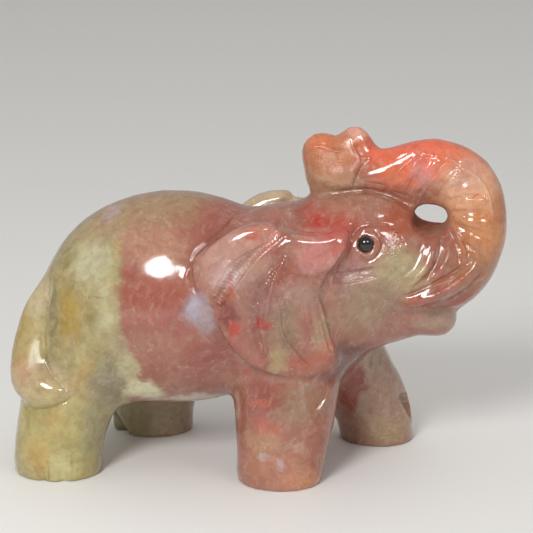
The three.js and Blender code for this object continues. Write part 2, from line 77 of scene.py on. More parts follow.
# All sizes are in millimetres. A stroke's line is x and z, seen from the side, its width is
# half of what it takes up, and a depth below zero stands out. A gouge has a flat floor and
# steep walls, a slant tips its floor across the line, and a list of widths, slants or tool
# marks runs along the line.
stoneWork = {
    "weld": 0.001,
    "voxel": 0.125,
    "smoothing": 0.5,
    "softening": 28,
    "faces": 194000,
    "fineDepth": 0.02,  # cuts deeper than this keep all their points
    "strokes": [
        # rear lobe of the ear
        {"line": [(4.5, 34.6), (0.7, 35.2), (-1.8, 34.4), (-4.3, 32.4), (-7.0, 30.1), (-7.1, 27.2),
                  (-6.2, 25.7)],
         "width": 0.4, "depth": 0.22},
        {"line": [(-6.5, 29.7), (-7.6, 28.5), (-7.8, 27.3), (-7.0, 25.9), (-6.0, 24.9)],
         "width": 0.35, "depth": -0.14},
        {"line": [(4.7, 33.7), (2.9, 32.6), (1.2, 31.3), (-0.2, 30.0), (-1.7, 28.4), (-2.8, 26.6),
                  (-3.8, 24.9)],
         "width": [0.35, 0.6, 0.85, 1.0, 1.05, 1.05, 1.05], "depth": -0.12, "gouge": True,
         "slant": [0.1, 0.07, 0.03, 0.03, 0.05, 0.06], "marks": [0.06, 0.08, 0.1, 0.1, 0.12, 0.13]},
        {"line": [(5.0, 33.6), (3.5, 32.3), (1.9, 30.9), (0.3, 29.1), (-1.1, 27.1), (-3.2, 24.0)],
         "width": 0.32, "depth": -0.26},
        {"line": [(2.7, 33.1), (0.4, 31.7), (-2.1, 30.1), (-3.5, 28.1), (-4.4, 26.0)],
         "width": 0.25, "depth": -0.12},
        {"line": [(4.6, 30.6), (3.4, 28.9), (2.3, 27.0), (1.3, 25.1), (1.0, 23.2), (1.2, 21.0),
                  (2.2, 17.8)],
         "width": [0.25, 0.7, 1.2, 1.2, 1.15, 1.05, 0.7], "depth": -0.3, "gouge": True,
         "slant": -0.12, "marks": 0.06},
        {"line": [(4.6, 30.8), (3.9, 28.8), (3.1, 26.5), (2.5, 24.3), (2.2, 21.0), (2.8, 17.4)],
         "width": 0.32, "depth": -0.24},
        {"line": [(4.5, 30.6), (2.8, 29.0), (1.4, 27.6), (0.4, 25.8)], "width": 0.28, "depth": -0.15},
        {"line": [(3.9, 33.2), (6.4, 32.6), (9.4, 32.5), (12.0, 33.2)], "width": 1.3, "depth": -0.3},
        {"line": [(8.5, 25.5), (9.1, 23.5), (9.6, 21.4), (10.7, 17.7)], "width": 0.26, "depth": -0.3},
        {"line": [(8.9, 22.6), (9.3, 20.8), (10.2, 17.9)], "width": 0.2, "depth": -0.2},
        {"line": [(3.8, 25.0), (4.0, 24.1), (4.4, 21.0), (6.4, 17.8), (7.5, 16.8)],
         "width": 0.26, "depth": -0.3},
        {"line": [(5.0, 24.9), (5.6, 21.0), (6.9, 18.2), (8.0, 17.0)], "width": 0.7, "depth": 0.2},
        {"line": [(7.7, 24.4), (8.5, 20.9), (9.2, 18.4)], "width": 0.5, "depth": 0.15},
        {"line": [(11.2, 27.4), (10.7, 24.8), (11.2, 22.2), (12.2, 19.8)], "width": 1.5, "depth": -0.45},
        # front edge of the ear and the hollow under the eye
        {"line": [(12.2, 33.0), (11.4, 31.6), (10.9, 30.2), (10.5, 28.8), (10.0, 27.2), (9.6, 25.6)],
         "width": [0.9, 1.1, 1.4, 1.6, 1.7, 1.5], "depth": -0.75},
        {"line": [(12.8, 33.2), (11.7, 31.4), (10.8, 29.8), (10.1, 28.8)], "width": 0.3, "depth": 0.2},
        {"line": [(10.0, 27.5), (12.4, 27.5), (15.6, 28.3)], "width": 0.85, "depth": 0.3, "gouge": True},
        {"line": [(9.8, 28.6), (12.7, 28.7), (15.7, 29.4)], "width": 0.28, "depth": -0.12},
        # brow and lids
        {"line": [(12.7, 32.5), (12.9, 33.2), (13.5, 33.7), (14.4, 34.0), (16.0, 34.0), (17.6, 33.8)],
         "width": 0.3, "depth": 0.22},
        {"line": [(13.0, 32.9), (13.8, 33.4), (14.6, 33.6), (15.6, 33.5)], "width": 0.25, "depth": -0.12},
        {"line": [(13.4, 31.0), (14.1, 30.5), (14.8, 30.4), (15.6, 30.9), (15.9, 31.8), (15.6, 32.7),
                  (15.0, 33.1)],
         "width": 0.25, "depth": -0.09},
        {"line": [(13.2, 31.3), (13.7, 30.2), (14.5, 29.7), (15.5, 30.1), (16.2, 31.0), (16.4, 31.9),
                  (16.0, 32.8), (15.4, 33.4)],
         "width": 0.3, "depth": 0.2},
        # trunk on the crown, and the wrinkles of its upper length
        {"line": [(10.0, 37.2), (12.8, 37.5), (14.7, 37.5), (17.3, 36.8), (19.9, 35.5)],
         "width": 0.4, "depth": 0.2},
        {"line": [(10.5, 36.7), (12.8, 36.9), (14.7, 36.9), (17.2, 36.2), (19.4, 35.0)],
         "width": 0.25, "depth": -0.24},
        {"line": [(10.2, 38.1), (12.4, 38.4), (14.6, 38.4), (16.4, 38.0)],
         "width": 0.42, "depth": -0.05, "slant": [0.1, 0.1, 0.2, 0.22], "gouge": True},
        {"line": [(12.1, 37.6), (12.8, 39.4), (13.5, 40.7), (14.0, 41.2)], "width": 0.28, "depth": 0.2},
        {"line": [(19.1, 37.0), (19.6, 38.7), (21.7, 42.3)], "width": 0.35, "depth": 0.24},
        {"line": [(17.0, 38.2), (17.5, 39.9), (20.1, 42.2)], "width": 0.35, "depth": 0.22},
        {"line": [(18.2, 37.6), (18.9, 39.4), (20.8, 42.3)], "width": 0.4, "depth": -0.14},
        {"line": [(21.4, 37.8), (22.2, 39.6), (24.2, 41.9)], "width": 0.35, "depth": 0.16},
        {"line": [(20.4, 37.2), (21.0, 39.2), (23.0, 42.1)], "width": 0.5, "depth": -0.14},
        {"line": [(20.9, 36.8), (22.0, 39.0), (24.0, 41.6)], "width": 0.22, "depth": -0.2},
        {"line": [(22.6, 37.2), (23.6, 39.0), (25.2, 40.8)], "width": 0.22, "depth": -0.2},
        # flat cuts raying out from the eyelet of the trunk
        {"line": [(23.3, 38.7), (24.9, 40.6), (25.9, 41.4)], "width": 0.7, "depth": 0.24},
        {"line": [(24.2, 37.7), (26.0, 39.0), (27.7, 39.8)], "width": 0.7, "depth": 0.24},
        {"line": [(24.6, 36.5), (26.6, 37.2), (28.8, 37.6)], "width": 0.6, "depth": 0.24},
        {"line": [(24.6, 34.9), (26.9, 35.3), (29.2, 35.4)], "width": 0.6, "depth": 0.24},
        {"line": [(24.7, 33.6), (26.7, 33.2), (29.0, 32.8)], "width": 0.6, "depth": 0.22},
        {"line": [(26.2, 37.3), (29.4, 37.1)], "width": 0.42, "depth": 0, "slant": 0.17, "gouge": True},
        {"line": [(26.2, 34.5), (29.6, 34.3)], "width": 0.42, "depth": 0, "slant": 0.15, "gouge": True},
        {"line": [(26.4, 33.0), (29.5, 31.8)], "width": 0.28, "depth": 0.12},
        {"line": [(26.5, 31.4), (29.2, 29.7)], "width": 0.28, "depth": 0.12},
        {"line": [(25.6, 40.9), (27.6, 39.8), (28.9, 38.3), (29.8, 35.7), (29.9, 34.6)],
         "width": 0.28, "depth": -0.26},
        {"line": [(16.9, 41.5), (19.3, 42.6), (21.5, 42.4), (24.4, 41.8), (27.0, 40.4)],
         "width": 0.3, "depth": -0.14},
        # folds of the lower trunk, the cheek and the tusk
        {"line": [(25.3, 32.7), (26.4, 30.8), (26.9, 29.1)], "width": 0.3, "depth": -0.26},
        {"line": [(24.7, 32.5), (25.7, 30.6), (26.0, 28.8)], "width": 0.45, "depth": 0.22},
        {"line": [(24.2, 32.8), (24.5, 30.2), (23.2, 27.4)], "width": 0.6, "depth": -0.32},
        {"line": [(22.8, 31.6), (22.1, 28.9), (19.8, 26.2)], "width": 0.55, "depth": -0.3},
        {"line": [(21.2, 31.2), (20.2, 28.9), (18.2, 27.2)], "width": 0.5, "depth": 0.2},
        {"line": [(23.5, 32.4), (23.4, 29.8), (21.8, 27.0)], "width": 0.35, "depth": 0.22},
        {"line": [(18.7, 24.6), (22.5, 26.4), (25.3, 27.9), (27.2, 29.1)], "width": 0.4, "depth": 0.32},
        {"line": [(21.4, 24.3), (24.9, 26.0), (28.0, 28.6)], "width": 0.75, "depth": -0.34},
        {"line": [(24.0, 23.8), (26.7, 25.4), (29.1, 27.9)], "width": 0.35, "depth": 0.32},
        {"line": [(18.7, 23.0), (20.6, 22.8), (22.5, 23.1), (24.0, 23.8)], "width": 0.35, "depth": 0.22},
        # flared end of the trunk: a hollowed flat with a rim
        {"line": [(6.2, 40.0), (7.8, 40.8), (9.3, 41.0), (11.0, 40.9)], "width": 1.5, "depth": 0.05},
        {"line": [(6.4, 42.7), (8.0, 42.9), (10.0, 42.3), (11.0, 42.6)], "width": 0.3, "depth": -0.16},
        {"line": [(12.0, 43.9), (12.1, 42.8), (12.7, 41.9), (13.4, 41.5), (14.2, 41.6)],
         "width": 0.3, "depth": -0.18},
        {"line": [(12.6, 43.4), (12.8, 42.4), (13.5, 41.0)], "width": 0.3, "depth": 0.14},
        # folds where the legs leave the body, and the tail's inner edge
        {"line": [(-16.2, 21.5), (-15.8, 18.6), (-15.3, 15.1), (-14.0, 11.6)],
         "width": 0.9, "depth": 0.18},
        {"line": [(11.0, 13.8), (10.2, 12.9), (9.6, 11.6), (8.8, 10.5), (8.1, 9.6)],
         "width": 0.4, "depth": -0.24},
        {"line": [(-26.5, 27.4), (-26.4, 25.9), (-26.7, 23.0), (-26.7, 20.6), (-27.0, 18.7),
                  (-26.6, 17.1), (-26.3, 15.3), (-25.4, 14.2), (-24.4, 13.4), (-23.0, 12.2)],
         "width": 0.3, "depth": 0.3},
        {"line": [(-29.6, 9.4), (-28.4, 9.4), (-27.0, 9.6), (-25.5, 10.0), (-24.4, 10.5),
                  (-23.4, 11.0), (-22.5, 11.6)],
         "width": 0.3, "depth": 0.26},
        {"line": [(-26.0, 3.0), (-26.0, 1.7), (-26.0, 0.1)], "width": 0.3, "depth": 0.35},
        {"line": [(-22.8, 4.0), (-22.8, 0.8)], "width": 0.35, "depth": 0.16},
    ],
    "markSpacing": 0.46,
    "markDrop": 14,  # how steeply the floor drops where a tool mark starts
    "gougeWall": 0.35,  # share of a gouge's half width that its wall takes
    # share of a stroke's length over which its ends run out, and what depth is left there
    "runOut": {"gouge": 0.05, "line": 0.18, "endDepth": 0.3},
    # where the cuts start to fade in and over how much: by how squarely the stone faces
    # sideways, and by the distance from its middle plane
    "sideways": (0.15, 0.3),
    "offMiddle": (0.8, 1.2),
    # x, z, reach and height of patches that the rough tool left unpolished
    "rough": [
        (10.6, 27.7, 1.6, 0.05), (12.6, 27.6, 1.8, 0.055), (14.3, 28.0, 1.3, 0.05),
        (17.3, 30.2, 1.1, 0.06), (18.3, 32.0, 1.6, 0.035), (17.6, 28.4, 1.2, 0.06),
        (16.9, 26.4, 1.4, 0.06), (20.1, 26.7, 1.0, 0.035), (21.8, 28.0, 1.0, 0.03),
        (25.2, 25.2, 1.3, 0.03), (27.0, 26.6, 1.3, 0.03), (1.6, 26.0, 1.2, 0.03), (1.1, 23.4, 1.1, 0.03),
        (9.0, 42.2, 2.6, 0.03), (26.8, 30.4, 1.6, 0.035), (20.4, 41.0, 2.4, 0.02), (7.6, 18.8, 1.2, 0.04),
        (25.4, 39.4, 1.4, 0.03),
    ],
    "roughGrain": 0.3,
    "ringStep": 0.25,
    # x, z and reach of places that the polish rounded over
    "rounded": [
        (5.2, 33.6, 1.7), (7.0, 33.3, 2.1), (9.0, 33.3, 2.1), (11.0, 33.4, 1.7), (11.6, 31.2, 1.6),
        (10.7, 29.2, 2.0), (9.8, 27.0, 2.1), (9.4, 24.8, 1.9), (10.1, 22.4, 1.7), (11.0, 20.2, 1.6),
    ],
    "rounding": 520,
    "waves": {"length": 2.3, "height": 0.03, "fadeAboveFloor": 3},
    "farSide": 0.75,  # the unseen side is cut a little plainer
}

# flats ground or chipped off an edge: a place on the flat, the way it faces and how far it reaches
chips = [
    {"place": (-20.2, 3.4, 3.4), "facing": (-0.80, -0.36, -0.46), "reach": 4.6},
    {"place": (18.9, 6.9, 5.2), "facing": (0.86, 0.2, 0.47), "reach": 2.2},
]


def meshArrays(mesh):
    points = np.zeros(len(mesh.vertices) * 3)
    normals = np.zeros(len(mesh.vertices) * 3)
    mesh.vertices.foreach_get("co", points)
    mesh.vertices.foreach_get("normal", normals)
    return points.reshape(-1, 3) / millimetre, normals.reshape(-1, 3)


def fadeIn(values, start, span):
    return np.clip((values - start) / span, 0, 1)


def strokeDepth(x, z, stroke):
    # how deep one stroke cuts at each place, in millimetres
    route = smoothRoute(stroke["line"])
    reached = np.concatenate([[0], np.cumsum(np.linalg.norm(np.diff(route, axis=0), axis=1))])

    def spread(value):
        given = np.atleast_1d(value)
        return np.interp(reached, np.linspace(0, reached[-1], len(given)), given)

    widths = spread(stroke["width"])
    low, high = route.min(0) - widths.max(), route.max(0) + widths.max()
    near = np.nonzero((x > low[0]) & (x < high[0]) & (z > low[1]) & (z < high[1]))[0]
    depth = np.zeros_like(x)
    if len(near) == 0:
        return depth
    place = np.stack([x[near], z[near]], 1)
    best = np.full(len(near), 1e9)
    along = np.zeros(len(near))
    side = np.zeros(len(near))
    for start, end, before, after in zip(route, route[1:], reached, reached[1:]):
        share = np.clip((place - start) @ (end - start) / (after - before) ** 2, 0, 1)
        away = np.linalg.norm(place - start - share[:, None] * (end - start), axis=1)
        closer = away < best
        best[closer] = away[closer]
        along[closer] = before + share[closer] * (after - before)
        run, rise = end - start
        across = run * (place[:, 1] - start[1]) - rise * (place[:, 0] - start[0])
        side[closer] = np.sign(across[closer])
    offset = best / np.interp(along, reached, widths)
    if stroke.get("gouge"):
        profile = np.clip((1 - offset) / stoneWork["gougeWall"], 0, 1)
        profile = profile**2 * (3 - 2 * profile)
    else:
        profile = np.clip(1 - offset**2, 0, 1) ** 2
    runOut = stoneWork["runOut"]
    share = runOut["gouge"] if stroke.get("gouge") else runOut["line"]
    ends = np.clip(np.minimum(along, reached[-1] - along) / (share * reached[-1]), 0, 1)
    left = runOut["endDepth"]
    slant = np.interp(along, reached, spread(stroke.get("slant", 0)))
    cut = (stroke["depth"] + slant * side * offset) * profile * (left + (1 - left) * ends)
    if "marks" in stroke:
        # each bite of the tool is deep at its upper end and runs out towards the next
        bite = along / stoneWork["markSpacing"] % 1
        marks = np.interp(along, reached, spread(stroke["marks"]))
        cut += marks * np.minimum(1 - 2 * bite, stoneWork["markDrop"] * bite - 1) * np.sqrt(profile)
    depth[near] = cut
    return depth


def roughDepth(points):
    # small bumps where the stone was left unpolished
    depth = np.zeros(len(points))
    for x, z, reach, height in stoneWork["rough"]:
        away = np.hypot(points[:, 0] - x, points[:, 2] - z) / reach
        for index in np.nonzero(away < 1)[0]:
            grain = noise.noise(Vector(points[index]) / stoneWork["roughGrain"])
            depth[index] += height * (1 - away[index] ** 2) * 2 * grain
    return depth


def roundOver(stone):
    # rub down the edges where the polish took them off
    points, _ = meshArrays(stone.data)
    group = stone.vertex_groups.new(name="rounded")
    step = stoneWork["ringStep"]
    for x, z, reach in stoneWork["rounded"]:
        nearness = 1 - np.hypot(points[:, 0] - x, points[:, 2] - z) / reach
        for share in (step, 2 * step, 3 * step, 4 * step):
            ring = np.nonzero((nearness > share - step) & (nearness <= share))[0]
            group.add([int(index) for index in ring], share, "ADD")
    applyModifier(stone, "SMOOTH", factor=stoneWork["smoothing"], iterations=stoneWork["rounding"],
                  vertex_group=group.name)
    stone.vertex_groups.clear()


def carve(stone):
    # move the points of the stone to where the tools cut, and say which of them are fine work
    points, normals = meshArrays(stone.data)
    depth = np.zeros(len(points))
    for stroke in stoneWork["strokes"]:
        depth += strokeDepth(points[:, 0], points[:, 2], stroke)
    depth += roughDepth(points)
    sideways = fadeIn(np.abs(normals[:, 1]), *stoneWork["sideways"])
    offMiddle = fadeIn(np.abs(points[:, 1]), *stoneWork["offMiddle"])
    side = np.where(points[:, 1] < 0, 1.0, stoneWork["farSide"])
    wave = stoneWork["waves"]
    swell = np.array([noise.noise(Vector(point) / wave["length"]) for point in points])
    swell *= 2 * wave["height"] * np.clip(points[:, 2] / wave["fadeAboveFloor"], 0, 1)
    points -= normals * (depth * sideways * offMiddle * side + swell)[:, None]
    fine = np.abs(depth * sideways * offMiddle) > stoneWork["fineDepth"]
    for chip in chips:
        facing = np.array(chip["facing"]) / np.linalg.norm(chip["facing"])
        offset = points - np.array(chip["place"])
        above = offset @ facing
        reached = (above > 0) & (np.linalg.norm(offset, axis=1) < chip["reach"])
        points[reached] -= np.outer(above[reached], facing)
    stone.data.vertices.foreach_set("co", (points * millimetre).ravel())
    stone.data.update()
    return fine


def makeStone():
    stone = bpy.data.objects.new("carvedStone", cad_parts["elephant"].data.copy())
    bpy.context.scene.collection.objects.link(stone)
    pickOnly(stone)
    bpy.ops.object.mode_set(mode="EDIT")
    bpy.ops.mesh.select_all(action="SELECT")
    bpy.ops.mesh.remove_doubles(threshold=stoneWork["weld"] * millimetre)
    bpy.ops.object.mode_set(mode="OBJECT")
    applyModifier(stone, "REMESH", mode="VOXEL", voxel_size=stoneWork["voxel"] * millimetre, adaptivity=0)
    applyModifier(stone, "SMOOTH", factor=stoneWork["smoothing"], iterations=stoneWork["softening"])
    roundOver(stone)
    fine = carve(stone)
    plain = stone.vertex_groups.new(name="plain")
    plain.add([int(index) for index in np.nonzero(~fine)[0]], 1.0, "REPLACE")
    triangles = sum(len(face.vertices) - 2 for face in stone.data.polygons)
    if triangles > stoneWork["faces"]:
        applyModifier(stone, "DECIMATE", ratio=stoneWork["faces"] / triangles, vertex_group=plain.name)
    stone.vertex_groups.clear()
    bpy.ops.object.shade_smooth()
    print("stone:", len(stone.data.polygons), "faces, from", triangles, "triangles, with",
          int(fine.sum()), "points of fine work")
    return stone


# The beads of the eyes

beadLook = {"segments": 48, "rings": 24, "faceDepth": 0.12}


def makeBead(node, name):
    low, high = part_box(node)
    centre = (low + high) / 2
    outward = -1 if centre.y < 0 else 1
    bpy.ops.object.select_all(action="DESELECT")
    bpy.ops.mesh.primitive_uv_sphere_add(segments=beadLook["segments"], ring_count=beadLook["rings"],
                                         radius=(high.y - low.y) / 2, location=centre,
                                         rotation=(math.pi / 2, 0, 0))
    bead = bpy.context.object
    bead.name = name
    bpy.ops.object.transform_apply(location=True, rotation=True, scale=True)
    # the polished face is a little flatter than the buried back
    face = centre.y + outward * (high.y - low.y) / 2
    for point in bead.data.vertices:
        depth = abs(point.co.y - face) / (high.y - low.y)
        if depth < 0.5:
            point.co.y -= outward * beadLook["faceDepth"] * millimetre * (1 - 2 * depth) ** 2
    bpy.ops.object.shade_smooth()
    return bead


# Shader helpers

def addNode(tree, kind, settings=None, **inputs):
    node = tree.nodes.new(kind)
    for name, value in (settings or {}).items():
        setattr(node, name, value)
    for name, value in inputs.items():
        socket = node.inputs[int(name[1:])] if name[0] == "s" and name[1:].isdigit() else node.inputs[name]
        if isinstance(value, bpy.types.NodeSocket):
            tree.links.new(value, socket)
        else:
            socket.default_value = value
    return node


def newGroup(name, inputs, outputs):
    group = bpy.data.node_groups.new(name, "ShaderNodeTree")
    for label, kind, value in inputs:
        socket = group.interface.new_socket(label, in_out="INPUT", socket_type=kind)
        if value is not None:
            socket.default_value = value
    for label, kind in outputs:
        group.interface.new_socket(label, in_out="OUTPUT", socket_type=kind)
    return group, group.nodes.new("NodeGroupInput").outputs, group.nodes.new("NodeGroupOutput").inputs


def makeCloudGroup():
    # a body of colour inside the stone: an egg-shaped cloud with a frayed edge
    group, given, result = newGroup(
        "colourCloud",
        [("Place", "NodeSocketVector", None), ("Centre", "NodeSocketVector", None),
         ("Reach", "NodeSocketVector", (5, 5, 5)), ("Edge", "NodeSocketFloat", 0.4)],
        [("Mask", "NodeSocketFloat")])
    offset = addNode(group, "ShaderNodeVectorMath", {"operation": "SUBTRACT"}, s0=given["Place"],
                     s1=given["Centre"])
    scaled = addNode(group, "ShaderNodeVectorMath", {"operation": "DIVIDE"}, s0=offset.outputs[0],
                     s1=given["Reach"])
    length = addNode(group, "ShaderNodeVectorMath", {"operation": "LENGTH"}, s0=scaled.outputs[0])
    outer = addNode(group, "ShaderNodeMath", {"operation": "ADD"}, s0=1.0, s1=given["Edge"])
    inner = addNode(group, "ShaderNodeMath", {"operation": "SUBTRACT"}, s0=1.0, s1=given["Edge"])
    mask = addNode(group, "ShaderNodeMapRange", {"interpolation_type": "SMOOTHSTEP"},
                   s0=length.outputs["Value"], s1=outer.outputs[0], s2=inner.outputs[0])
    group.links.new(mask.outputs[0], result["Mask"])
    return group


def makeFleckGroup():
    # scattered small marks: spots of a noise that reach over a threshold
    group, given, result = newGroup(
        "stoneFlecks",
        [("Place", "NodeSocketVector", None), ("Scale", "NodeSocketFloat", 1.0),
         ("Threshold", "NodeSocketFloat", 0.62), ("Softness", "NodeSocketFloat", 0.05)],
        [("Mask", "NodeSocketFloat")])
    grain = addNode(group, "ShaderNodeTexNoise", {"noise_dimensions": "3D"}, Vector=given["Place"],
                    Scale=given["Scale"], Detail=3.0, Roughness=0.55)
    top = addNode(group, "ShaderNodeMath", {"operation": "ADD"}, s0=given["Threshold"],
                  s1=given["Softness"])
    mask = addNode(group, "ShaderNodeMapRange", {"interpolation_type": "SMOOTHSTEP"},
                   s0=grain.outputs["Fac"], s1=given["Threshold"], s2=top.outputs[0])
    group.links.new(mask.outputs[0], result["Mask"])
    return group
